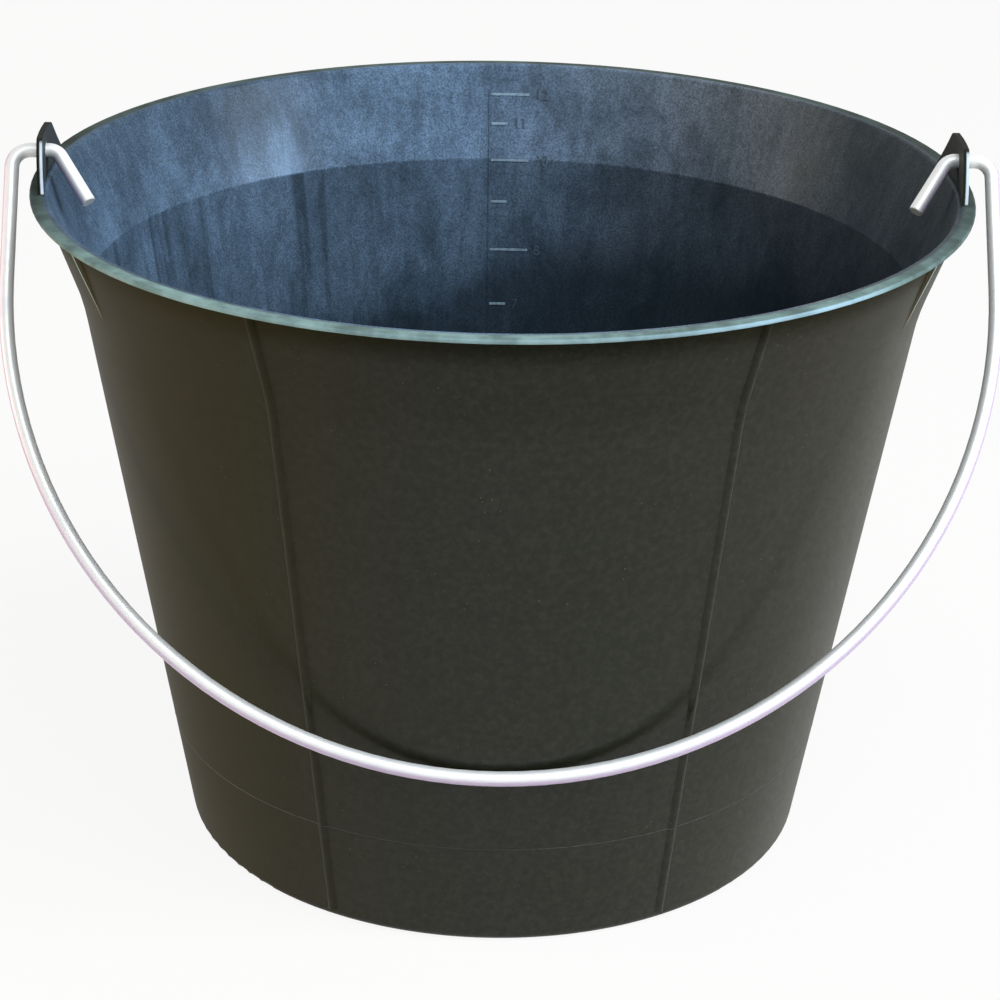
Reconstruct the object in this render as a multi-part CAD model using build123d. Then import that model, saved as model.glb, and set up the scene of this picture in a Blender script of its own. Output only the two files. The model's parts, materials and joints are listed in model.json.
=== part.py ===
from build123d import *
import math
import os

# A twelve-litre bucket: one moulded body with a flared upper band and two ear tabs,
# and one wire bail whose hooked ends turn in the ears.
# Millimetres. Origin at the centre of the standing plane, +Z up, ears on X, front at -Y.

# Body, overall
rim_diameter = 324.0        # over the rim
rim_height = 237.0          # standing plane to the top of the rim
rim_width = 6.0             # level, from the outer edge to the mouth
base_diameter = 225.0       # outer wall carried down to the standing plane
band_height = 35.0          # shoulder to the top of the rim
band_flare = 12.5           # how far the band spreads above the shoulder, on the radius

# Body, plastic sections
wall = 2.5                  # measured level
floor_thickness = 3.0
foot_height = 3.0           # hollow under the floor
foot_width = 7.0
rim_thickness = 1.7

# Body, rounded corners of the section
base_round = 3.0
floor_round = 8.0
shoulder_blend = 80.0
lip_round = 0.8
lip_flat = 0.2              # least height left between the two rounds of the lip
mouth_round = 1.2

# Raised ribs down the outside, spaced evenly from under one ear
rib_count = 6
rib_width = 4.2
rib_rise = 1.1
rib_foot = 3.5              # standing plane to the lower end

# Short gussets under the rim, either side of each ear
gusset_angle = 28.0
gusset_drop = 28.0
gusset_thickness = 1.5
gusset_rise = 1.6           # off the wall, under the rim

# Raised litre marks on the inner wall at the back, all starting on one upright line
mark_drop = 11.0            # top of the rim to the highest mark
mark_step = 10.9            # highest mark to the next
mark_spread = 2.7           # each step down is longer by this, as the bucket narrows
mark_widest_step = 22.0
mark_start = -2.9           # across from the middle of the wall
even_mark = 15.5
odd_mark = 7.0
mark_width = 1.0
mark_rise = 0.35
mark_line_width = 0.5

# Ear tabs
ear_base = 54.0
ear_top = 23.0
ear_height = 15.5           # above the rim
ear_thickness = 2.0
ear_inset = 3.8             # edge of the rim to the middle of the ear
ear_corner = 5.0
ear_edge_round = 0.5
pivot_rise = 8.3            # top of the rim to the bail's axis

# Wire bail
wire_diameter = 5.0
pivot_clearance = 0.5       # between wire and ear hole, on the radius
arm_clearance = 4.3         # between wire and rim
arm_length = 46.9           # pivot axis to the start of the half circle
elbow_radius = 6.0
hook_radius = 5.0
hook_lean = 32.0            # degrees inwards from the line of the arms
hook_length = 22.0          # from the corner of the hook to its cut end
hook_clearance = 0.8        # ear's inner face to the start of the hook's bend
cut_chamfer = 0.3
rest_gap = 0.5              # between the hanging bail and the wall

# Worked out from the sizes above
rim_radius = rim_diameter / 2
base_radius = base_diameter / 2
mouth_radius = rim_radius - rim_width
shoulder_radius = mouth_radius + wall - band_flare
shoulder_height = rim_height - band_height
floor_top = foot_height + floor_thickness
wall_slope = (shoulder_radius - base_radius) / shoulder_height
band_slope = band_flare / band_height
lip = min(lip_round, (rim_thickness - lip_flat) / 2)
wire_radius = wire_diameter / 2
ear_radius = rim_radius - ear_inset
pivot_height = rim_height + pivot_rise
bail_radius = rim_radius + arm_clearance + wire_radius
bail_reach = arm_length + bail_radius


def wall_radius(height):
    """Radius of the outer wall at a height, without the blend at the shoulder."""
    if height < shoulder_height:
        return base_radius + wall_slope * height
    return shoulder_radius + band_slope * (height - shoulder_height)


def hang_angle():
    """Degrees that the bail leans out from straight down when it lies on the wall."""
    lean = math.atan(wall_slope)
    stand_off = wire_radius + rest_gap
    level_reach = wall_radius(0) + wall_slope * pivot_height
    return math.degrees(math.asin((level_reach * math.cos(lean) + stand_off) / bail_reach) - lean)


def turned_body():
    """Wall, floor, foot ring and rim, as one turned section."""
    rim_under = rim_height - rim_thickness
    foot_inner = base_radius - foot_width
    corners = [
        ((0, foot_height), 0),
        ((foot_inner, foot_height), 0),
        ((foot_inner, 0), 0),
        ((base_radius, 0), base_round),
        ((shoulder_radius, shoulder_height), shoulder_blend),
        ((wall_radius(rim_under), rim_under), 0),
        ((rim_radius, rim_under), lip),
        ((rim_radius, rim_height), lip),
        ((mouth_radius, rim_height), mouth_round),
        ((shoulder_radius - wall, shoulder_height), 0),
        ((wall_radius(floor_top) - wall, floor_top), floor_round),
        ((0, floor_top), 0),
    ]
    points = [point for point, _ in corners]
    radii = [radius for _, radius in corners]
    outline = FilletPolyline(*points, radius=radii, close=True)
    return revolve(Plane.XZ * make_face(outline), Axis.Z)


def ribs():
    """Half-round beads that follow the outer wall from the foot to the rim."""
    sink = wall / 3
    rim_middle = rim_height - rim_thickness / 2
    path = Plane.XZ * FilletPolyline(
        (wall_radius(rib_foot), rib_foot),
        (shoulder_radius, shoulder_height),
        (wall_radius(rim_middle), rim_middle),
        radius=[shoulder_blend],
    )
    crest = ThreePointArc((-sink, -rib_width / 2), (rib_rise, 0), (-sink, rib_width / 2))
    bead = make_face(crest + Line(crest @ 1, crest @ 0))
    outwards = Vector(1, 0, -wall_slope)
    section = Plane(path @ 0, x_dir=outwards, z_dir=path % 0) * bead
    rib = sweep(section, path)
    return [Rot(Z=360 * number / rib_count) * rib for number in range(rib_count)]


def gussets():
    """Thin webs between the wall and the overhang of the rim, beside the ears."""
    top = rim_height - rim_thickness / 2
    low = top - gusset_drop
    outline = Polyline(
        (wall_radius(top) - wall / 2, top),
        (wall_radius(top) + gusset_rise, top),
        (wall_radius(low), low),
        (wall_radius(low) - wall / 2, low),
        close=True,
    )
    web = extrude(Plane.XZ * make_face(outline), gusset_thickness / 2, both=True)
    turns = [side + hand * gusset_angle for side in (0, 180) for hand in (-1, 1)]
    return [Rot(Z=turn) * web for turn in turns]


def mark_heights():
    """Heights of the litre marks from the highest down, as far as the round at the floor."""
    heights = []
    height = rim_height - mark_drop
    step = mark_step
    while height > floor_top + floor_round + mark_step:
        heights.append(height)
        height -= step
        step = min(step + mark_spread, mark_widest_step)
    return heights


def litre_scale():
    """The flat drawing of the scale, carried onto a thin skin over the inner wall."""
    heights = mark_heights()
    highest = heights[0]
    lowest = heights[-1]
    line_height = highest - lowest + mark_width
    drawing = Pos(mark_start, (highest + lowest) / 2) * Rectangle(mark_line_width, line_height)
    for number, height in enumerate(heights):
        length = even_mark if number % 2 == 0 else odd_mark
        drawing += Pos(mark_start + length / 2, height) * Rectangle(length, mark_width)
    across = extrude(Plane.XZ * drawing, -rim_radius)
    sink = wall / 3
    inner = [
        (wall_radius(floor_top) - wall, floor_top),
        (shoulder_radius - wall, shoulder_height),
        (mouth_radius, rim_height),
    ]
    outline = Polyline(
        *[(radius - mark_rise, height) for radius, height in inner],
        *[(radius + sink, height) for radius, height in reversed(inner)],
        close=True,
    )
    skin = revolve(Plane.XZ * make_face(outline), Axis.Z)
    return skin & across


def ears():
    """Two tabs that carry the rim upwards, each with a hole for the bail."""
    root = rim_thickness / 2
    outline = Polyline(
        (-ear_base / 2, -root),
        (-ear_base / 2, 0),
        (-ear_top / 2, ear_height),
        (ear_top / 2, ear_height),
        (ear_base / 2, 0),
        (ear_base / 2, -root),
        close=True,
    )
    tab = make_face(outline)
    tab = fillet(tab.vertices().group_by(Axis.Y)[-1], ear_corner)
    hole = Pos(0, pivot_rise) * Circle(wire_radius + pivot_clearance)
    rim_top = Plane(origin=(0, 0, rim_height), x_dir=(0, 1, 0), z_dir=(1, 0, 0))
    across = extrude(rim_top * (tab - hole), rim_radius, both=True)
    height = root + ear_height
    ring_middle = Pos(0, 0, rim_height - root + height / 2)
    ring = ring_middle * (
        Cylinder(ear_radius + ear_thickness / 2, height)
        - Cylinder(ear_radius - ear_thickness / 2, height)
    )
    rounded = []
    for ear in (ring & across).solids():
        over_rim = [edge for edge in ear.edges() if edge.center().Z > rim_height + ear_edge_round]
        outside = [edge for edge in over_rim if edge.length > 2 * ear_thickness]
        rounded.append(fillet(outside, ear_edge_round))
    return rounded


def bail_end():
    """Half of the bail's line above the half circle: arm, elbow, pivot and hook."""
    hook_start = ear_radius - ear_thickness / 2 - hook_clearance
    bend = math.radians(90 - hook_lean)
    corner = hook_start - hook_radius * math.tan(bend / 2)
    lean = math.radians(hook_lean)
    cut_end = (corner - hook_length * math.sin(lean), -hook_length * math.cos(lean))
    return FilletPolyline(
        (bail_radius, -arm_length),
        (bail_radius, 0),
        (corner, 0),
        cut_end,
        radius=[elbow_radius, hook_radius],
    )


def bail():
    """The bent wire, hanging at the front of the body."""
    right = bail_end()
    left = mirror(right, Plane.YZ)
    bow = ThreePointArc((bail_radius, -arm_length), (0, -bail_reach), (-bail_radius, -arm_length))
    line = Wire([*right.edges(), *bow.edges(), *left.edges()])
    section = Plane(line @ 0, z_dir=line % 0) * Circle(wire_radius)
    wire = sweep(section, line)
    cuts = [face for face in wire.faces() if face.geom_type == GeomType.PLANE]
    wire = chamfer([edge for face in cuts for edge in face.edges()], cut_chamfer)
    print("wire length", round(line.length, 1), "volume", round(wire.volume))
    hanging = Pos(0, 0, pivot_height) * Rot(X=90 - hang_angle())
    return hanging * wire


bucket_body = turned_body() + ribs() + gussets() + ears() + litre_scale()
bail_handle = bail()
print("hang angle", round(hang_angle(), 3), "pivot height", pivot_height)

os.makedirs("parts", exist_ok=True)
export_step(bucket_body, "parts/bucket_body.step")
export_step(bail_handle, "parts/bail_handle.step")
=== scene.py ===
import json
import math

import bmesh
import bpy
from bpy.props import FloatProperty, FloatVectorProperty, IntProperty, PointerProperty
from bpy.types import Operator, Panel, PropertyGroup
from mathutils import Matrix, Vector
from mathutils.bvhtree import BVHTree


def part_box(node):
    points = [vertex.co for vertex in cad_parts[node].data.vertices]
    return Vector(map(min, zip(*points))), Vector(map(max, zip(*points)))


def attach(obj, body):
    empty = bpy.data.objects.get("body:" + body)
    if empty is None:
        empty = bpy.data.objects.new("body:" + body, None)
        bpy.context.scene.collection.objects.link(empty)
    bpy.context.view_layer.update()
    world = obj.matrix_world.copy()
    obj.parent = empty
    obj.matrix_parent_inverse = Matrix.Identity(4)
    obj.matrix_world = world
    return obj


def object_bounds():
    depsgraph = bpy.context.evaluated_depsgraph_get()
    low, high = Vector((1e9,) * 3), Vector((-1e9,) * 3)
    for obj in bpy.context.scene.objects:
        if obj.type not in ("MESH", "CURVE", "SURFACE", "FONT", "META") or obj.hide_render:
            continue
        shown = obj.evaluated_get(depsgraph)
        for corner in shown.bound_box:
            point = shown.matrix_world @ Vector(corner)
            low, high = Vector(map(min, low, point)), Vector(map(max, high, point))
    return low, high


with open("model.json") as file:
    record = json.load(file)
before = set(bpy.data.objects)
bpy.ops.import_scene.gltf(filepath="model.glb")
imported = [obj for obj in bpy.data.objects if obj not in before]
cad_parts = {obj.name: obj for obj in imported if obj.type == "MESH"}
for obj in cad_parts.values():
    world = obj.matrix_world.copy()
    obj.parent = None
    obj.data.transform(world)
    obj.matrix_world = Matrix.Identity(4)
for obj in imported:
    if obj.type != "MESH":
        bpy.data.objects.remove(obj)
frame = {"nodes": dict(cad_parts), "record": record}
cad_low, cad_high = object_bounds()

bl_info = {
    "name": "Wire-bail bucket",
    "version": (1, 0, 0),
    "blender": (4, 5, 0),
    "location": "3D View > Sidebar > Bucket",
    "description": "Finishes, scale numerals and studio for a moulded bucket with a wire bail",
    "category": "Object",
}

BODY_NODE = "bucket_body"
BAIL_NODE = "bail_handle"
BODY = "bucket"
MM = 0.001
WHITE = (1, 1, 1)
CLOUDED = (0.3, 0.7)    # span of noise over which most patterns fade

# Place, width, power in watts and tint of each lamp
LAMPS = {
    "key_lamp": ((2.2, -0.7, 1.2), 1.1, 50, (0.84, 0.93, 1.0)),
    "top_lamp": ((0.4, -1.4, 2.2), 1.4, 30, (0.92, 0.97, 1.0)),
    "left_lamp": ((-2.2, 0.1, 0.35), 0.7, 20, (1.0, 0.80, 0.50)),
}


# Sizes and colours that a user would change


def length(name, description, millimetres):
    """A length property whose default is given in millimetres."""
    return FloatProperty(
        name=name,
        description=description,
        default=millimetres * MM,
        unit="LENGTH",
        precision=5,
    )


def angle(name, description, degrees):
    """An angle property whose default is given in degrees."""
    default = math.radians(degrees)
    return FloatProperty(name=name, description=description, default=default, subtype="ANGLE")


def colour(name, description, red, green, blue):
    """A colour property in linear light."""
    return FloatVectorProperty(
        name=name,
        description=description,
        default=(red, green, blue),
        subtype="COLOR",
        min=0,
        max=1,
    )


def amount(name, description, default):
    """A plain number from 0 to 1."""
    return FloatProperty(
        name=name,
        description=description,
        default=default,
        min=0,
        max=1,
        subtype="FACTOR",
    )


class BucketPlastic(PropertyGroup):
    """Colours and shine of the black moulding."""

    outside: colour("Outside", "Outer wall", 0.0085, 0.0095, 0.0042)
    # Painted warm light on the sides of the outer wall
    painted_side_light: colour("Faded outside", "Outer wall browned by light", 0.029, 0.023, 0.0048)
    # Painted shade: the outer band under the rim, a little darker than the wall
    band: colour("Outer band", "Outside of the flared band, under the rim", 0.008, 0.008, 0.003)
    inside: colour("Inside", "Inner wall where it has been rubbed clean", 0.010, 0.019, 0.026)
    bloom: colour("Bloom", "Grey-blue haze on the inner wall", 0.20, 0.31, 0.47)
    # Greyer haze, mixed in towards the right of the inner wall as painted shade, and put on the ears' inner
    # faces
    grey_bloom: colour("Grey bloom", "Haze on the right of the inner wall", 0.20, 0.225, 0.26)
    # Rim wear; the same colour is the painted highlight on the gussets' crests
    wear_and_gusset_highlight: colour("Worn top", "Top of the rim, greyed by handling", 0.31, 0.46, 0.44)
    # Painted highlight on the lip, partly wear
    lip: colour("Worn lip", "Outer edge of the rim, rubbed pale", 0.37, 0.55, 0.67)
    # Painted highlight on the corners of the ears' edges
    ear_edge_highlight: colour("Ear edges", "Corners of the ears' edges, rubbed almost white", 0.74, 0.84, 0.93)
    # Dusty specks; the same colour is painted fill light beside the gussets
    dust_and_fill_light: colour("Dust", "Specks on the outside", 0.20, 0.16, 0.10)
    marks: colour("Marks", "Tops of the litre marks, rubbed pale", 0.30, 0.42, 0.52)
    shine: amount("Outer shine", "Strength of the satin skin on the outer wall", 0.56)
    inner_shine: amount("Inner shine", "Strength of the satin skin on the inner wall", 0.12)
    # Place and width of a painted highlight on the inner band
    highlight_turn: angle("Scuff", "Right edge of a scuff on the inner band, from the back's middle", -32.6)
    highlight_width: angle("Scuff width", "How far the scuff spreads along the band", 16)


class BucketWire(PropertyGroup):
    """Colours of the plated wire."""

    zinc: colour("Zinc", "Bright plating", 0.93, 0.93, 0.92)
    dull: colour("Dull zinc", "Plating where it has gone cloudy", 0.86, 0.85, 0.88)
    # Painted shade in lilac on the outer side of the bow
    lilac: colour("Lilac zinc", "Tint of the plating round the outer side of the bow", 0.56, 0.43, 0.64)


class ScaleNumerals(PropertyGroup):
    """The numerals beside the litre marks."""

    full: IntProperty(name="Top numeral", description="Litres at the highest mark", default=12, min=1)
    size: length("Height", "Height of a numeral", 3.8)
    gap: length("Gap", "From the end of a mark to its numeral", 2.2)
    rise: length("Rise", "How far a numeral stands off the wall", 0.3)
    tint: colour("Tint", "Tops of the numerals, rubbed pale", 0.20, 0.28, 0.36)


class MouldLine(PropertyGroup):
    """The fine line that the mould leaves round the outside."""

    height: length("Height", "Height above the floor", 39.6)
    width: length("Width", "Width of the line", 0.5)
    rise: length("Rise", "How far the line stands off the wall", 0.08)
    tint: colour("Tint", "Crest of the line, rubbed pale", 0.060, 0.060, 0.055)


class BucketStage(PropertyGroup):
    """Camera, floor and light."""

    camera_side: length("Camera across", "Camera's place along X", -17.35)
    camera_back: length("Camera distance", "From the bucket's axis to the camera, along Y", 942.53)
    camera_height: length("Camera height", "Above the floor", 522.39)
    camera_pitch: angle("Camera pitch", "Tilt of the camera, where a right angle is level", 66.678)
    camera_yaw: angle("Camera yaw", "Turn of the camera to the right", 1.107)
    camera_roll: angle("Camera roll", "Turn of the camera about its own line of sight", 0.994)
    lens: FloatProperty(
        name="Lens",
        description="Focal length for a 36 mm sensor",
        default=101.80,
        unit="CAMERA",
    )
    floor: colour("Floor", "Plain pale floor", 0.86, 0.82, 0.74)
    sky: colour("Sky", "Soft light from all round", 0.88, 0.95, 1.0)
    sky_level: amount("Sky level", "Strength of the light from all round", 0.30)


# Shader maths


class Value:
    """A number, vector or colour on a socket. Arithmetic on it adds Math nodes."""

    def __init__(self, nodes, socket):
        self.nodes = nodes
        self.socket = socket

    def _math(self, operation, *terms):
        return self.nodes.add("ShaderNodeMath", {"operation": operation}, dict(enumerate(terms)))

    def __add__(self, other):
        return self._math("ADD", self, other)

    __radd__ = __add__

    def __sub__(self, other):
        return self._math("SUBTRACT", self, other)

    def __rsub__(self, other):
        return self._math("SUBTRACT", other, self)

    def __mul__(self, other):
        return self._math("MULTIPLY", self, other)

    __rmul__ = __mul__

    def __truediv__(self, other):
        return self._math("DIVIDE", self, other)

    def __rtruediv__(self, other):
        return self._math("DIVIDE", other, self)

    def __abs__(self):
        return self._math("ABSOLUTE", self)

    def larger(self, other):
        return self._math("MAXIMUM", self, other)

    def root(self):
        return self._math("SQRT", self)

    def turn_from(self, other):
        """Angle of the point (other, self), as seen from the origin."""
        return self._math("ARCTAN2", self, other)

    def over(self, low, high):
        """0 below low and 1 above high, with a smooth rise between them."""
        sockets = {"Value": self, "From Min": low, "From Max": high}
        return self.nodes.add("ShaderNodeMapRange", {"interpolation_type": "SMOOTHSTEP"}, sockets)

    def under(self, low, high):
        """1 below low and 0 above high."""
        return 1 - self.over(low, high)

    def fade(self, first, last):
        """From the first value where this is 0 to the last where it is 1."""
        return first + (last - first) * self


class Nodes:
    """A node tree and the few ways of adding to it."""

    def __init__(self, tree):
        self.tree = tree

    def add(self, kind, settings=None, sockets=None, output=0):
        """Adds a node, sets it up, feeds its sockets and gives back one output, or a list of several."""
        node = self.tree.nodes.new(kind)
        for name, setting in (settings or {}).items():
            setattr(node, name, setting)
        for key, value in (sockets or {}).items():
            self.feed(node.inputs[key], value)
        if isinstance(output, tuple):
            return [Value(self, node.outputs[key]) for key in output]
        return Value(self, node.outputs[output])

    def feed(self, socket, value):
        """Links a Value to a socket, or sets the socket to a number, vector or colour."""
        if isinstance(value, Value):
            self.tree.links.new(value.socket, socket)
        elif socket.type == "RGBA":
            socket.default_value = (*value, 1)
        else:
            socket.default_value = value

    # A Mix node has sockets of the same names for each kind of data, so they go by number.

    def mix(self, share, first, second):
        """A colour between two colours."""
        sockets = {"Factor": share, 6: first, 7: second}
        return self.add("ShaderNodeMix", {"data_type": "RGBA"}, sockets, output=2)

    def mix_vectors(self, share, first, second):
        """A vector between two vectors."""
        sockets = {"Factor": share, 4: first, 5: second}
        return self.add("ShaderNodeMix", {"data_type": "VECTOR"}, sockets, output=1)

    def here(self, output="Object"):
        """The point on the piece, or its normal, in the piece's own frame."""
        return self.add("ShaderNodeTexCoord", output=output)

    def split(self, vector):
        """The three numbers of a vector."""
        return self.add("ShaderNodeSeparateXYZ", None, {0: vector}, output=(0, 1, 2))

    def join(self, x, y, z):
        """A vector of three numbers."""
        return self.add("ShaderNodeCombineXYZ", None, {0: x, 1: y, 2: z})

    def scaled(self, vector, x, y, z):
        """A vector with each of its numbers scaled."""
        return self.add("ShaderNodeVectorMath", {"operation": "MULTIPLY"}, {0: vector, 1: (x, y, z)})

    def noise(self, vector, scale, detail=2.0, roughness=0.5, twist=0.0):
        """Smooth random values around a half."""
        sockets = {"Vector": vector, "Scale": scale, "Detail": detail}
        sockets.update({"Roughness": roughness, "Distortion": twist})
        return self.add("ShaderNodeTexNoise", None, sockets)

    def cells(self, vector, scale):
        """Distance to the nearest of many scattered points."""
        return self.add("ShaderNodeTexVoronoi", None, {"Vector": vector, "Scale": scale})

    def bump(self, height, strength, distance):
        """A normal bent by a height."""
        sockets = {"Strength": strength, "Distance": distance, "Height": height}
        return self.add("ShaderNodeBump", None, sockets)

    def seen_directly(self):
        """1 for rays from the camera, off gloss and through glass, so that all of them see one pale set."""
        names = ("Is Camera Ray", "Is Glossy Ray", "Is Transmission Ray")
        camera, gloss, glass = self.add("ShaderNodeLightPath", output=names)
        return camera.larger(gloss).larger(glass)


class Finish(Nodes):
    """A material with one main shader."""

    def __init__(self, name):
        self.material = bpy.data.materials.new(name)
        self.material.use_nodes = True
        super().__init__(self.material.node_tree)
        self.shader = self.tree.nodes["Principled BSDF"]

    def surface(self, **values):
        """Feeds sockets of the main shader, named with underscores for spaces."""
        for name, value in values.items():
            self.feed(self.shader.inputs[name.replace("_", " ")], value)


# Places on the moulded wall


class Wall:
    """Measures the moulding by casting rays at it, from its axis, from outside, from above or from below."""

    far = 1.0
    clear_turn = math.radians(-8)    # beside the litre marks
    wall_part = (0.25, 0.75)         # shares of the rim's height between which the wall is straight
    band_part = (0.88, 0.955)        # the same for the flared band
    on_rim = 3 * MM                  # in from the edge of the rim, on its flat top
    under_lip = 1.2 * MM             # in from the edge of the rim, outside the wall
    ear_turn = math.radians(84)      # through an ear, beside its hole
    up_ear = 3 * MM                  # over the rim

    def __init__(self):
        depsgraph = bpy.context.evaluated_depsgraph_get()
        self.tree = BVHTree.FromObject(frame["nodes"][BODY_NODE], depsgraph)
        self.rim_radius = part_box(BODY_NODE)[1][1]
        up = Vector((0, 0, 1))
        above = Vector((0, self.rim_radius - self.on_rim, self.far))
        below = Vector((0, self.rim_radius - self.under_lip, 0))
        self.rim_top = self._hit(above, -up)[0].z
        self.rim_under = self._hit(below, up)[0].z
        self.inner_wall = self._inner_line(*self.wall_part)
        self.inner_band = self._inner_line(*self.band_part)
        foot, growth = self.inner_wall
        band_foot, band_growth = self.inner_band
        self.shoulder = (foot - band_foot) / (band_growth - growth)
        self.mouth_radius = band_foot + band_growth * self.rim_top
        ear_height = self.rim_top + self.up_ear
        ear_faces = [cast(self.ear_turn, ear_height)[0].xy.length for cast in (self.inner, self.outer)]
        self.ear_radius = sum(ear_faces) / len(ear_faces)

    def inner(self, turn, height):
        """Point and normal on the inner wall, where a turn of 0 is the middle of the back."""
        outwards = Vector((math.sin(turn), math.cos(turn), 0))
        return self._hit(Vector((0, 0, height)), outwards)

    def outer(self, turn, height):
        """Point and normal on the outer wall, ribs included."""
        outwards = Vector((math.sin(turn), math.cos(turn), 0))
        return self._hit(Vector((0, 0, height)) + outwards * self.far, -outwards)

    def _hit(self, start, direction):
        point, normal, _, _ = self.tree.ray_cast(start, direction, self.far)
        if point is None:
            raise RuntimeError(f"no wall was found from {tuple(start)}")
        if normal.dot(direction) > 0:
            normal.negate()
        return point, normal

    def _inner_line(self, low_share, high_share):
        """Radius of the inner wall, carried down to the standing plane, and its growth with height."""
        low = low_share * self.rim_top
        high = high_share * self.rim_top
        first = self.inner(self.clear_turn, low)[0].xy.length
        growth = (self.inner(self.clear_turn, high)[0].xy.length - first) / (high - low)
        return first - growth * low, growth

    def inner_at(self, across, height, rise=0):
        """A place on the inner wall, measured along it from the middle of the back, and off it by a rise."""
        middle, _ = self.inner(0, height)
        point, normal = self.inner(across / middle.y, height)
        return point + normal * rise

    def inner_radius(self, across, height):
        """Radius of the inner wall at a place measured along it from the middle of the back."""
        return self.inner_at(across, height).xy.length


class LitreMarks:
    """Finds the raised marks on the inner wall of the moulding."""

    least_rise = 0.2 * MM
    beside = -6 * MM
    fine_step = 0.2 * MM
    over_floor = 20 * MM
    under_rim = 4 * MM

    def __init__(self, wall):
        self.wall = wall
        self.heights = []
        run = []
        height = wall.rim_top - self.under_rim
        while height > self.over_floor:
            if self.raised(0, height):
                run.append(height)
            elif run:
                self.heights.append(sum(run) / len(run))
                run = []
            height -= self.fine_step
        self.left = self.end(self.heights[0], -self.fine_step)
        self.right = max(self.end(height) for height in self.heights)

    def raised(self, across, height):
        """Whether the wall stands proud at a place, compared with the plain wall beside the marks."""
        plain = self.wall.inner_radius(self.beside, height)
        return plain - self.wall.inner_radius(across, height) > self.least_rise

    def end(self, height, step=fine_step):
        """Where a mark ends, along the wall from the middle of the back, in steps to the right or left."""
        across = 0
        while self.raised(across, height):
            across += step
        return across


# Finishes


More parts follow.
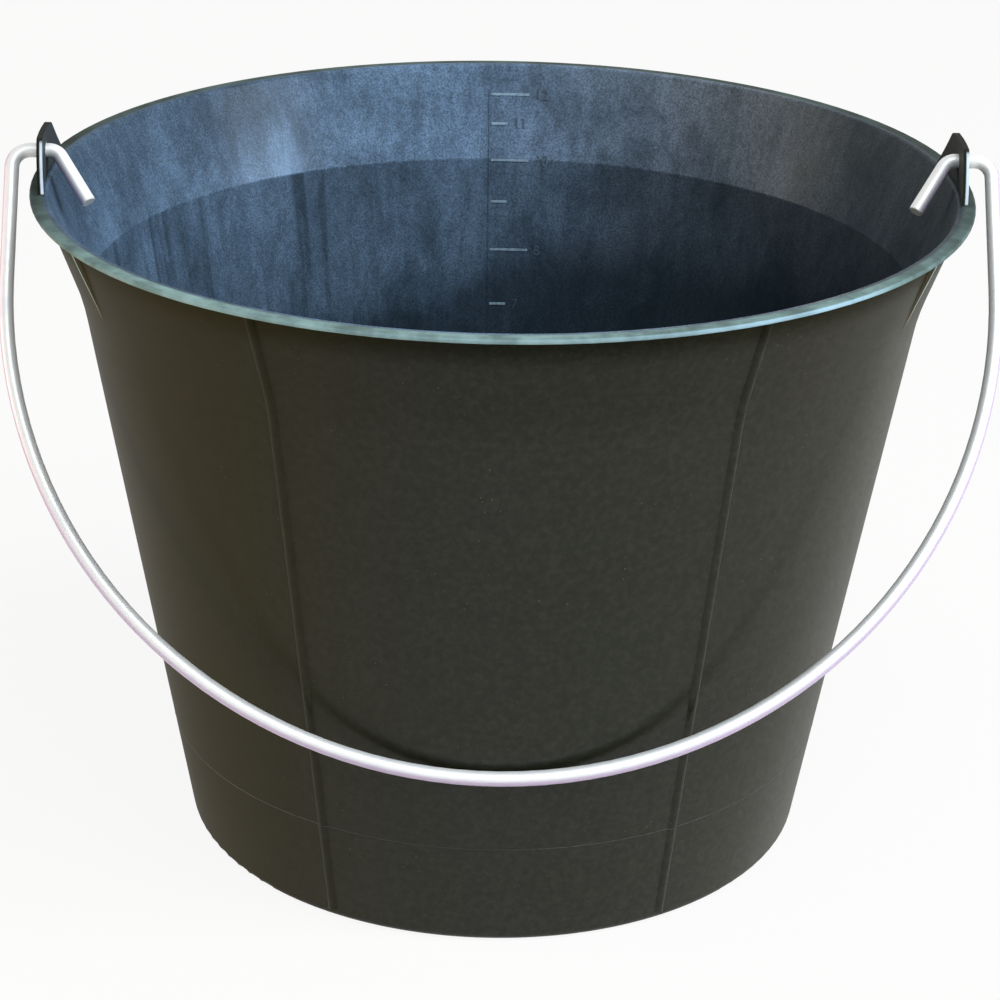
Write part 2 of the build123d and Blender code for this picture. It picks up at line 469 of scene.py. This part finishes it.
class Moulding(Finish):
    """The black moulding's finish. Its masks are 1 on one region of the body and 0 elsewhere.

    The two values that give a mask are where it starts to fade and where the fade ends.
    """

    gusset_turn = math.radians(28)       # from the line of the ears
    gusset_half = math.radians(0.27)     # half of a gusset's thickness, seen from the axis
    mark_line = 0.7 * MM                 # upright line at the left of the litre marks
    mark_spare = 0.4 * MM                # over which the marks' ends fade

    # Bloom inside, where each pattern is thinnest and where it is thickest
    cloud_bloom = (0.28, 0.86)
    wipe_bloom = (0.8, 1)
    grain_bloom = (0.6, 1.4)
    drift_bloom = (0.75, 1.25)

    # Bloom below the shoulder, and what is left of it in places
    wall_bloom = 0.55
    # Painted shade: the bloom thins towards the right
    shaded_right_bloom = 0.55
    middle_bloom = 1.45
    drip_bloom = 0.45
    tide_bloom = 0.24
    tide_slope = 27 * MM                 # how much higher the thinned part reaches at the right
    tide_wave = 16 * MM                  # how far its edge wanders up and down

    # Bloom on the band, and what is missing of it in places
    band_bloom = 1.1
    left_loss = 0.35
    top_left_loss = 0.2
    # Painted shade at the far right of the band
    far_right_shade = 0.7

    # A painted highlight on a patch of the band
    highlight_bloom = (0.25, 0.5)
    highlight_edge = math.radians(1.6)
    highlight_height = 26 * MM

    # The outer wall
    pale_spot = 2.2                      # times as pale as the wall
    spot_share = 0.5
    # Shares of the painted warm light at the left, at the right and under the ears
    side_light_left = 0.8
    side_light_right = 0.3
    side_light_ears = 0.4

    # What lies over the walls: haze that is partly painted light on the ears' inner faces, specks, painted
    # fill light and a painted highlight at the gussets, and wear
    ear_bloom_and_light = 0.22
    speck_dust = 0.3
    gusset_fill_light = 0.75
    gusset_highlight = 0.85
    mark_wear = (0.55, 1)

    # Wear of the rim, and the painted highlights on the lip and the ears' edges, where they are least and
    # where most
    rim_wear = (0.4, 1)
    lip_mottle = (0.6, 1)
    ear_highlight_mottle = (0.7, 1)
    front_wear = (0.3, 1)
    front_lip = (0.25, 1)
    right_lip = (0.3, 1)

    # Wear, and painted highlight on the lip, that is left in places
    wear_by_ears = 0.6
    wear_at_right = 0.75
    wear_at_left_end = 0.4
    lip_at_right_end = 0.1

    # Satin skin that is left in places, and how dull it is in others
    band_skin = 0.75
    corner_skin = 0.1
    mottled_skin = (0.5, 1.5)
    dull_left = (0.78, 0.9)              # high up and low down
    dull_right = 0.3
    dull_ears = 0.5

    def __init__(self, plastic):
        super().__init__("black_moulding")
        self.plastic = plastic
        self.wall = Wall()
        self.point = self.here()
        self.x, self.y, self.z = self.split(self.point)
        self.normal = self.split(self.here("Normal"))
        self.radius = (self.x * self.x + self.y * self.y).root()
        self.outwards = (self.normal[0] * self.x + self.normal[1] * self.y) / self.radius
        self.turn = self.x.turn_from(self.y)
        self.mottle = self.noise(self.point, scale=420, detail=4, roughness=0.7)
        self.find_sides()
        self.find_edges()
        self.find_marks()
        self.find_gussets()

    def right_of(self, low, high):
        """1 at the right, from one share of the rim's radius to another."""
        return self.x.over(low * self.wall.rim_radius, high * self.wall.rim_radius)

    def left_of(self, low, high):
        """1 at the left, from one share of the rim's radius to another."""
        return 1 - self.right_of(low, high)

    def above(self, height, low, high):
        """1 above a height, between two distances from it."""
        return self.z.over(height + low, height + high)

    def below(self, height, low, high):
        """1 below a height, between two distances from it."""
        return 1 - self.above(height, low, high)

    def find_sides(self):
        """Masks for the inner wall, the inner band and the sides, and points as on an upright wall."""
        wall = self.wall
        facing_up = self.normal[2].over(0.4, 0.9)
        on_floor = facing_up * self.z.under(30 * MM, 40 * MM)
        evened = wall.mouth_radius / self.radius
        upright = self.join(self.x * evened, self.y * evened, self.z)
        self.evened = self.mix_vectors(on_floor, upright, self.point)
        facing_in = self.outwards.under(-0.5, -0.1)
        self.past_mouth = self.radius.over(wall.mouth_radius + 1.2 * MM, wall.mouth_radius + 2.6 * MM)
        over_mouth = (1 - self.past_mouth) * self.z.over(wall.rim_under, wall.rim_top)
        below_top = self.below(wall.rim_top, 0, 0.4 * MM)
        self.inside = facing_in.larger(on_floor).larger(over_mouth) * below_top
        self.in_band = self.above(wall.shoulder, -0.5 * MM, 0.5 * MM)
        self.to_right = self.right_of(-0.2, 0.8)
        self.at_right = self.right_of(0.2, 0.8)
        self.at_left = self.left_of(-0.7, 0)
        self.to_front = (self.y / self.radius).under(-0.7, 0.4)
        self.under_ears = abs(self.x / self.radius).over(0.70, 1.0)

    def find_edges(self):
        """Masks for the rim, its lip, the ears, and the painted highlight on the corners of the ears' edges
        on the side of each ear that faces right.
        """
        wall = self.wall
        above_under = self.above(wall.rim_under, -0.4 * MM, 0)
        below_top = self.below(wall.rim_top, 0.2 * MM, 0.6 * MM)
        self.rim = above_under * below_top * self.past_mouth
        self.lip = self.rim * self.outwards.over(0.35, 0.8)
        self.ear = self.above(wall.rim_top, 0.4 * MM, 1 * MM)
        facing_along = abs(self.normal[1]).over(0.35, 0.7)
        # The side of each ear that faces right, which takes the painted highlight
        right_face = self.x / abs(self.x) * (self.radius - wall.ear_radius)
        self.ear_edge_highlight = self.ear * facing_along * right_face.over(-0.2 * MM, 0.3 * MM)

    def find_marks(self):
        """Mask for the tops of the litre marks, without their upright line."""
        marks = LitreMarks(self.wall)
        past_line = marks.left + self.mark_line
        from_line = self.x.over(past_line, past_line + self.mark_spare)
        to_end = self.x.under(marks.right, marks.right + self.mark_spare)
        proud = (self.plain_radius() - self.radius).over(0.16 * MM, 0.26 * MM)
        clear_of_floor = self.z.over(24 * MM, 26 * MM)
        self.mark = proud * self.inside * clear_of_floor * from_line * to_end

    def plain_radius(self):
        """Radius of the plain inner wall at the height of a point."""
        foot, growth = self.wall.inner_wall
        band_foot, band_growth = self.wall.inner_band
        return (foot + growth * self.z).larger(band_foot + band_growth * self.z)

    def find_gussets(self):
        """Masks for the painted highlight on the gussets' crests, and for painted fill light on the corners
        along their feet.
        """
        rim_under = self.wall.rim_under
        below_lip = self.below(rim_under, -1 * MM, -0.5 * MM)
        outside = below_lip * (1 - self.inside)
        off_gusset = abs(abs(self.y).turn_from(abs(self.x)) - self.gusset_turn)
        on_crest = off_gusset.under(0.7 * self.gusset_half, self.gusset_half)
        above_tip = self.above(rim_under, -26 * MM, -10 * MM)
        self.gusset = on_crest * above_tip * outside
        on_foot = off_gusset.under(1.3 * self.gusset_half, 1.8 * self.gusset_half)
        down_to_tip = self.above(rim_under, -28 * MM, -22 * MM)
        self.gusset_foot = on_foot * down_to_tip * outside

    def streaks(self, height, **noise):
        """Noise on the inner wall, drawn out upwards by scaling the height."""
        return self.noise(self.scaled(self.evened, 1, 1, height), **noise)

    def haze(self):
        """How much bloom lies inside: cloudy, streaked, thin below a wavy line, and thick on a patch of the
        band that is a painted highlight.
        """
        clouds = self.streaks(0.7, scale=40, detail=9, roughness=0.8, twist=0.3)
        wipes = self.streaks(0.12, scale=120, detail=3, roughness=0.6, twist=0.8)
        drift = self.streaks(0.8, scale=11)
        grain = self.noise(self.point, scale=1400, roughness=0.6)
        haze = clouds.over(*CLOUDED).fade(*self.cloud_bloom) * drift.fade(*self.drift_bloom)
        haze = haze * wipes.over(0.35, 0.65).fade(*self.wipe_bloom)
        haze = haze * grain.over(*CLOUDED).fade(*self.grain_bloom)
        haze = haze * self.in_band.fade(self.haze_on_wall(clouds), self.haze_on_band())
        return haze + self.painted_band_highlight(wipes)

    def haze_on_wall(self, clouds):
        """Share of the bloom below the shoulder: less at the right as painted shade, less in drips, and less
        below a wavy line that rises to the right and fades out towards the floor.
        """
        dripping = self.streaks(0.05, scale=120, twist=0.5).over(0.5, 0.68)
        drips = dripping * self.left_of(-0.5, -0.1)
        tide = self.tide_slope * self.x.over(-60 * MM, 30 * MM) - self.tide_wave * (clouds - 0.5)
        below_tide = (self.z - tide).under(128 * MM, 158 * MM) * self.z.over(-20 * MM, 140 * MM)
        middle = self.x.over(-60 * MM, 10 * MM) * self.x.under(60 * MM, 110 * MM)
        # Painted shade: less bloom towards the right
        share = self.wall_bloom * self.to_right.fade(1, self.shaded_right_bloom)
        share = share * middle.fade(1, self.middle_bloom) * drips.fade(1, self.drip_bloom)
        return share * below_tide.fade(1, self.tide_bloom)

    def haze_on_band(self):
        """Share of the bloom above the shoulder: less at the left, towards its top, and less at the far right
        as painted shade.
        """
        at_left = self.left_of(-0.7, -0.2)
        to_top = self.z.over(self.wall.shoulder, self.wall.rim_top)
        left_loss = at_left * to_top.fade(self.left_loss, self.left_loss + self.top_left_loss)
        return self.band_bloom - left_loss - self.far_right_shade * self.right_of(0.55, 0.85)

    def painted_band_highlight(self, wipes):
        """More bloom as a painted highlight on a patch of the band, which stops short at its right edge."""
        edge = self.plastic.highlight_turn
        left_of_edge = self.turn.over(edge - self.plastic.highlight_width, edge)
        up_to_edge = self.turn.under(edge, edge + self.highlight_edge)
        over_shoulder = self.below(self.wall.shoulder, 0, self.highlight_height) * self.in_band
        return left_of_edge * up_to_edge * over_shoulder * wipes.over(*CLOUDED).fade(*self.highlight_bloom)

    def outer_colour(self):
        """Colour of the outside: painted shade in the band, mottled, and painted warm light at the sides and
        under the ears.
        """
        plastic, wall = self.plastic, self.wall
        # Painted shade: the wall darkens into the band under the rim
        into_band = self.above(wall.shoulder, -14 * MM, 10 * MM)
        outside = self.mix(into_band, plastic.outside, plastic.band)
        pale_spots = [channel * self.pale_spot for channel in plastic.outside]
        outside = self.mix(self.spot_share * self.mottle.over(0.38, 0.72), outside, pale_spots)
        # Painted warm light at the sides and under the ears, up to just under the rim
        painted_side_light = (self.side_light_left * self.at_left).larger(self.side_light_right * self.at_right)
        painted_side_light = painted_side_light.larger(self.side_light_ears * self.under_ears)
        return self.mix(painted_side_light * self.below(wall.rim_under, -1 * MM, 0), outside, plastic.painted_side_light)

    def wear(self):
        """Wear of the rim: most at the front, less by the ears, to the right and at the left end."""
        wear = self.to_front.fade(*self.front_wear) * self.under_ears.fade(1, self.wear_by_ears)
        wear = wear * self.to_right.fade(1, self.wear_at_right)
        return wear * self.left_of(-0.98, -0.92).fade(1, self.wear_at_left_end)

    def lip_wear_and_highlight(self):
        """Painted highlight on the lip, partly wear: most at the right of the front and back, less by the
        right ear.
        """
        front_or_back = abs(self.y / self.radius).over(0.35, 0.9)
        lip = self.lip * front_or_back.fade(*self.front_lip)
        lip = lip * self.right_of(0, 0.6).fade(*self.right_lip)
        return lip * self.right_of(0.66, 0.78).fade(1, self.lip_at_right_end)

    def colours(self):
        """Base colour, from the plain walls to the bloom, specks and wear over them, with painted light,
        shade and highlights.
        """
        plastic = self.plastic
        # Painted shade: the bloom turns greyer towards the right
        bloom = self.mix(self.to_right, plastic.bloom, plastic.grey_bloom)
        ear_inside = self.ear * self.outwards.under(-0.6, 0.2)
        patches = self.noise(self.point, scale=45).over(0.45, 0.6)
        specks = self.cells(self.point, scale=300).under(0.04, 0.10) * patches
        # Dusty specks, and painted fill light over the shade beside the gussets
        dust_and_fill_light = (self.speck_dust * specks).larger(self.gusset_fill_light * self.gusset_foot)
        handled = self.noise(self.point, scale=70, detail=4, roughness=0.6).over(*CLOUDED)
        layers = [
            (self.inside, plastic.inside),
            (self.haze() * self.inside, bloom),
            # Haze on the ears' inner faces, partly painted light
            (self.ear_bloom_and_light * ear_inside, plastic.grey_bloom),
            (dust_and_fill_light, plastic.dust_and_fill_light),
            (self.rim * handled.fade(*self.rim_wear) * self.wear(), plastic.wear_and_gusset_highlight),
            # Painted highlight on the lip, partly wear
            (self.lip_wear_and_highlight() * handled.fade(*self.lip_mottle), plastic.lip),
            # Painted highlight on the ears' edges
            (self.ear_edge_highlight * handled.fade(*self.ear_highlight_mottle), plastic.ear_edge_highlight),
            # Painted highlight on the gussets' crests
            (self.gusset_highlight * self.gusset, plastic.wear_and_gusset_highlight),
            (self.mark * self.mottle.over(0.35, 0.6).fade(*self.mark_wear), plastic.marks),
        ]
        mixed = self.outer_colour()
        for share, tint in layers:
            mixed = self.mix(share, mixed, tint)
        return mixed

    def skin(self):
        """Strength of the satin skin: best on the outer wall, weaker under the rim and inside."""
        wall = self.wall
        in_band = self.above(wall.shoulder, -10 * MM, 10 * MM)
        in_corner = self.above(wall.rim_under, -13 * MM, -2 * MM)
        low_down = self.z.under(0.1 * wall.rim_top, 0.6 * wall.rim_top)
        dull_left = self.at_left * low_down.fade(*self.dull_left)
        dulled = dull_left.larger(self.dull_right * self.at_right).larger(self.dull_ears * self.under_ears)
        outer = self.plastic.shine * in_band.fade(1, self.band_skin) * in_corner.fade(1, self.corner_skin)
        outer = outer * (1 - dulled) * self.mottle.fade(*self.mottled_skin)
        return self.inside.fade(outer, self.plastic.inner_shine)


def plastic_finish(plastic):
    """Satin black moulding: warm outside with painted warm light at the sides and painted shade in the band,
    hazy blue-grey inside with painted shade at the right, and pale where the rim is rubbed, with painted
    highlights on the lip, the ears' edges and the gussets.
    """
    finish = Moulding(plastic)
    grain = finish.noise(finish.point, scale=1100, roughness=0.6)
    finish.surface(
        Base_Color=finish.colours(),
        Roughness=finish.mottle.fade(0.57, 0.67),
        Normal=finish.bump(grain, strength=0.08, distance=0.4 * MM),
        Specular_IOR_Level=0.05,
        Coat_Weight=finish.skin(),
        Coat_Roughness=0.25,
        Coat_IOR=1.5,
    )
    return finish.material


def rubbed_finish(name, tint, height):
    """The top of fine raised detail on the moulding, rubbed pale here and there below a height."""
    unrubbed_share = 0.3
    finish = Finish(name)
    point = finish.here()
    rub = finish.noise(point, scale=500, detail=3, roughness=0.6)
    patches = finish.noise(point, scale=14).over(0.42, 0.6)
    below = finish.split(point)[2].under(height, height + 1 * MM)
    unrubbed = [channel * unrubbed_share for channel in tint]
    finish.surface(
        Base_Color=finish.mix(rub.over(*CLOUDED) * patches * below, unrubbed, tint),
        Roughness=rub.fade(0.35, 0.55),
        Specular_IOR_Level=0.3,
    )
    return finish.material


def zinc_finish(wire):
    """Bright zinc plating with a cloudy bloom, painted lilac shade round the outside, and fine drawing marks.
    """
    lilac_shade_share = 0.85
    fine_matt = 0.08
    finish = Finish("zinc_plating")
    point = finish.here()
    pivot = frame["record"]["behaviour"]["joints"][0]["pos_m"]
    arm = [place - start for place, start in zip(finish.split(point), pivot)]
    normal = finish.split(finish.here("Normal"))
    reach = sum(part * part for part in arm).root()
    outwards = sum(side * part for side, part in zip(normal, arm)) / reach
    cloudy = finish.noise(point, scale=90, detail=4, roughness=0.6, twist=0.4).over(0.42, 0.75)
    fine = finish.noise(point, scale=1500)
    plated = finish.mix(cloudy, wire.zinc, wire.dull)
    finish.surface(
        # Painted lilac shade on the side facing away from the pivots
        Base_Color=finish.mix(lilac_shade_share * outwards.over(0.3, 0.8), plated, wire.lilac),
        Metallic=0.3,
        Roughness=cloudy.fade(0.36, 0.48) + fine_matt * fine,
        Normal=finish.bump(fine, strength=0.005, distance=0.2 * MM),
    )
    return finish.material


def dress(node_name, material):
    """Gives a CAD node one material."""
    slots = frame["nodes"][node_name].data.materials
    slots.clear()
    slots.append(material)


# Fine raised detail


def new_piece(name, bm, material):
    """Links a mesh as a piece of the moulding that rides on the bucket."""
    bmesh.ops.recalc_face_normals(bm, faces=bm.faces)
    mesh = bpy.data.meshes.new(name)
    bm.to_mesh(mesh)
    bm.free()
    mesh.materials.append(material)
    piece = bpy.data.objects.new(name, mesh)
    bpy.context.scene.collection.objects.link(piece)
    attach(piece, BODY)


def add_numeral(bm, wall, text, left, height, numerals):
    """Adds a number that stands on the inner wall, from its left end and its middle height."""
    capital_share = 0.7
    curve = bpy.data.curves.new("numeral", "FONT")
    curve.body = text
    curve.size = numerals.size / capital_share
    curve.extrude = numerals.rise / 2
    letters = bpy.data.objects.new("numeral", curve)
    bpy.context.scene.collection.objects.link(letters)
    bpy.context.view_layer.update()
    depsgraph = bpy.context.evaluated_depsgraph_get()
    mesh = bpy.data.meshes.new_from_object(letters.evaluated_get(depsgraph))
    for vertex in mesh.vertices:
        flat = vertex.co
        rise = flat.z + numerals.rise / 2
        vertex.co = wall.inner_at(left + flat.x, height + flat.y - numerals.size / 2, rise)
    bm.from_mesh(mesh)
    bpy.data.objects.remove(letters)
    bpy.data.curves.remove(curve)
    bpy.data.meshes.remove(mesh)


def scale_numerals(wall, numerals):
    """A number beside each litre mark, counted down from the highest."""
    marks = LitreMarks(wall)
    bm = bmesh.new()
    for down, height in enumerate(marks.heights):
        left = marks.end(height) + numerals.gap
        add_numeral(bm, wall, str(numerals.full - down), left, height, numerals)
    return bm


def mould_line(wall, line):
    """A fine ridge round the outer wall, over the ribs."""
    steps = 720
    sunk_share = 0.2
    sink = -sunk_share * line.rise
    profile = [(-line.width / 2, sink), (0, line.rise), (line.width / 2, sink)]
    bm = bmesh.new()
    rows = []
    for step in range(steps):
        row = []
        for offset, rise in profile:
            point, normal = wall.outer(math.tau * step / steps, line.height + offset)
            row.append(bm.verts.new(point + normal * rise))
        rows.append(row)
    for first, second in zip(rows, rows[1:] + rows[:1]):
        for edge in range(len(profile)):
            after = (edge + 1) % len(profile)
            bm.faces.new((first[edge], first[after], second[after], second[edge]))
    return bm


# Stage


def aimed_lamp(name, place, target, size, power, tint):
    """A soft square lamp at a place, facing a target."""
    lamp = bpy.data.lights.new(name, "AREA")
    lamp.shape = "SQUARE"
    lamp.size = size
    lamp.energy = power
    lamp.color = tint
    holder = bpy.data.objects.new(name, lamp)
    bpy.context.scene.collection.objects.link(holder)
    holder.location = place
    holder.rotation_euler = (Vector(target) - Vector(place)).to_track_quat("-Z", "Y").to_euler()
    holder.visible_camera = False


def pale_floor(stage):
    """A floor that is lit like any surface, and lifted towards white where it is seen directly."""
    white_share = 0.9
    half = 6.0
    below = -0.3 * MM
    finish = Finish("pale_floor")
    finish.surface(Base_Color=stage.floor, Roughness=0.9, Specular_IOR_Level=0.0)
    white = finish.add("ShaderNodeEmission", None, {"Color": WHITE, "Strength": 1.0})
    lit = Value(finish, finish.shader.outputs[0])
    lifted = finish.seen_directly() * white_share
    both = finish.add("ShaderNodeMixShader", None, {0: lifted, 1: lit, 2: white})
    finish.feed(finish.tree.nodes["Material Output"].inputs["Surface"], both)
    mesh = bpy.data.meshes.new("floor")
    corners = [(-half, -half, below), (half, -half, below), (half, half, below), (-half, half, below)]
    mesh.from_pydata(corners, [], [(0, 1, 2, 3)])
    mesh.materials.append(finish.material)
    floor = bpy.data.objects.new("floor", mesh)
    bpy.context.scene.collection.objects.link(floor)


def pale_sky(stage):
    """Light from all round, and white where it is seen directly."""
    world = bpy.data.worlds.new("studio")
    bpy.context.scene.world = world
    world.use_nodes = True
    nodes = Nodes(world.node_tree)
    seen = nodes.seen_directly()
    background = world.node_tree.nodes["Background"]
    nodes.feed(background.inputs["Color"], nodes.mix(seen, stage.sky, WHITE))
    nodes.feed(background.inputs["Strength"], seen.fade(stage.sky_level, 1))


def photo_camera(stage):
    """The camera that the photograph was taken from."""
    camera = bpy.data.cameras.new("camera")
    camera.lens = stage.lens
    holder = bpy.data.objects.new("camera", camera)
    bpy.context.scene.collection.objects.link(holder)
    place = Matrix.Translation((stage.camera_side, -stage.camera_back, stage.camera_height))
    yaw = Matrix.Rotation(-stage.camera_yaw, 4, "Z")
    pitch = Matrix.Rotation(stage.camera_pitch, 4, "X")
    roll = Matrix.Rotation(stage.camera_roll, 4, "Z")
    holder.matrix_world = place @ yaw @ pitch @ roll
    bpy.context.scene.camera = holder


# Operators


class BUCKET_OT_body(Operator):
    """Gives the moulded body its satin black finish"""

    bl_idname = "bucket.body"
    bl_label = "Moulded body"

    def execute(self, context):
        dress(BODY_NODE, plastic_finish(context.scene.bucket_plastic))
        return {"FINISHED"}


class BUCKET_OT_bail(Operator):
    """Gives the wire bail its zinc plating"""

    bl_idname = "bucket.bail"
    bl_label = "Wire bail"

    def execute(self, context):
        dress(BAIL_NODE, zinc_finish(context.scene.bucket_wire))
        return {"FINISHED"}


class BUCKET_OT_numerals(Operator):
    """Raises a numeral beside each litre mark"""

    bl_idname = "bucket.numerals"
    bl_label = "Scale numerals"

    def execute(self, context):
        numerals = context.scene.bucket_numerals
        wall = Wall()
        finish = rubbed_finish("rubbed_numerals", numerals.tint, wall.shoulder)
        new_piece("scale_numerals", scale_numerals(wall, numerals), finish)
        return {"FINISHED"}


class BUCKET_OT_mould_line(Operator):
    """Raises the fine mould line round the outside"""

    bl_idname = "bucket.mould_line"
    bl_label = "Mould line"

    def execute(self, context):
        line = context.scene.bucket_line
        wall = Wall()
        finish = rubbed_finish("rubbed_line", line.tint, wall.shoulder)
        new_piece("mould_line", mould_line(wall, line), finish)
        return {"FINISHED"}


class BUCKET_OT_stage(Operator):
    """Sets up the floor, the light and the camera"""

    bl_idname = "bucket.stage"
    bl_label = "Studio"

    def execute(self, context):
        stage = context.scene.bucket_stage
        context.scene.view_settings.view_transform = "Standard"
        pale_floor(stage)
        pale_sky(stage)
        photo_camera(stage)
        middle = (cad_low + cad_high) / 2
        for name, (place, size, power, tint) in LAMPS.items():
            aimed_lamp(name, place, middle, size, power, tint)
        return {"FINISHED"}


class BUCKET_PT_panel(Panel):
    """Lists the bucket's finishes, fine detail and studio"""

    bl_idname = "BUCKET_PT_panel"
    bl_label = "Bucket"
    bl_space_type = "VIEW_3D"
    bl_region_type = "UI"
    bl_category = "Bucket"

    def draw(self, context):
        for operator, group in STEPS:
            box = self.layout.box()
            box.operator(operator.bl_idname)
            settings = getattr(context.scene, group)
            for name in settings.__annotations__:
                box.prop(settings, name)


GROUPS = {
    "bucket_plastic": BucketPlastic,
    "bucket_wire": BucketWire,
    "bucket_numerals": ScaleNumerals,
    "bucket_line": MouldLine,
    "bucket_stage": BucketStage,
}
STEPS = [
    (BUCKET_OT_body, "bucket_plastic"),
    (BUCKET_OT_bail, "bucket_wire"),
    (BUCKET_OT_numerals, "bucket_numerals"),
    (BUCKET_OT_mould_line, "bucket_line"),
    (BUCKET_OT_stage, "bucket_stage"),
]
CLASSES = [*GROUPS.values(), *(operator for operator, _ in STEPS), BUCKET_PT_panel]


def register():
    for kind in CLASSES:
        bpy.utils.register_class(kind)
    for name, group in GROUPS.items():
        setattr(bpy.types.Scene, name, PointerProperty(type=group))


def unregister():
    for name in GROUPS:
        delattr(bpy.types.Scene, name)
    for kind in reversed(CLASSES):
        bpy.utils.unregister_class(kind)


def main():
    register()
    bpy.ops.bucket.body()
    bpy.ops.bucket.bail()
    bpy.ops.bucket.numerals()
    bpy.ops.bucket.mould_line()
    bpy.ops.bucket.stage()


if __name__ == "__main__":
    main()
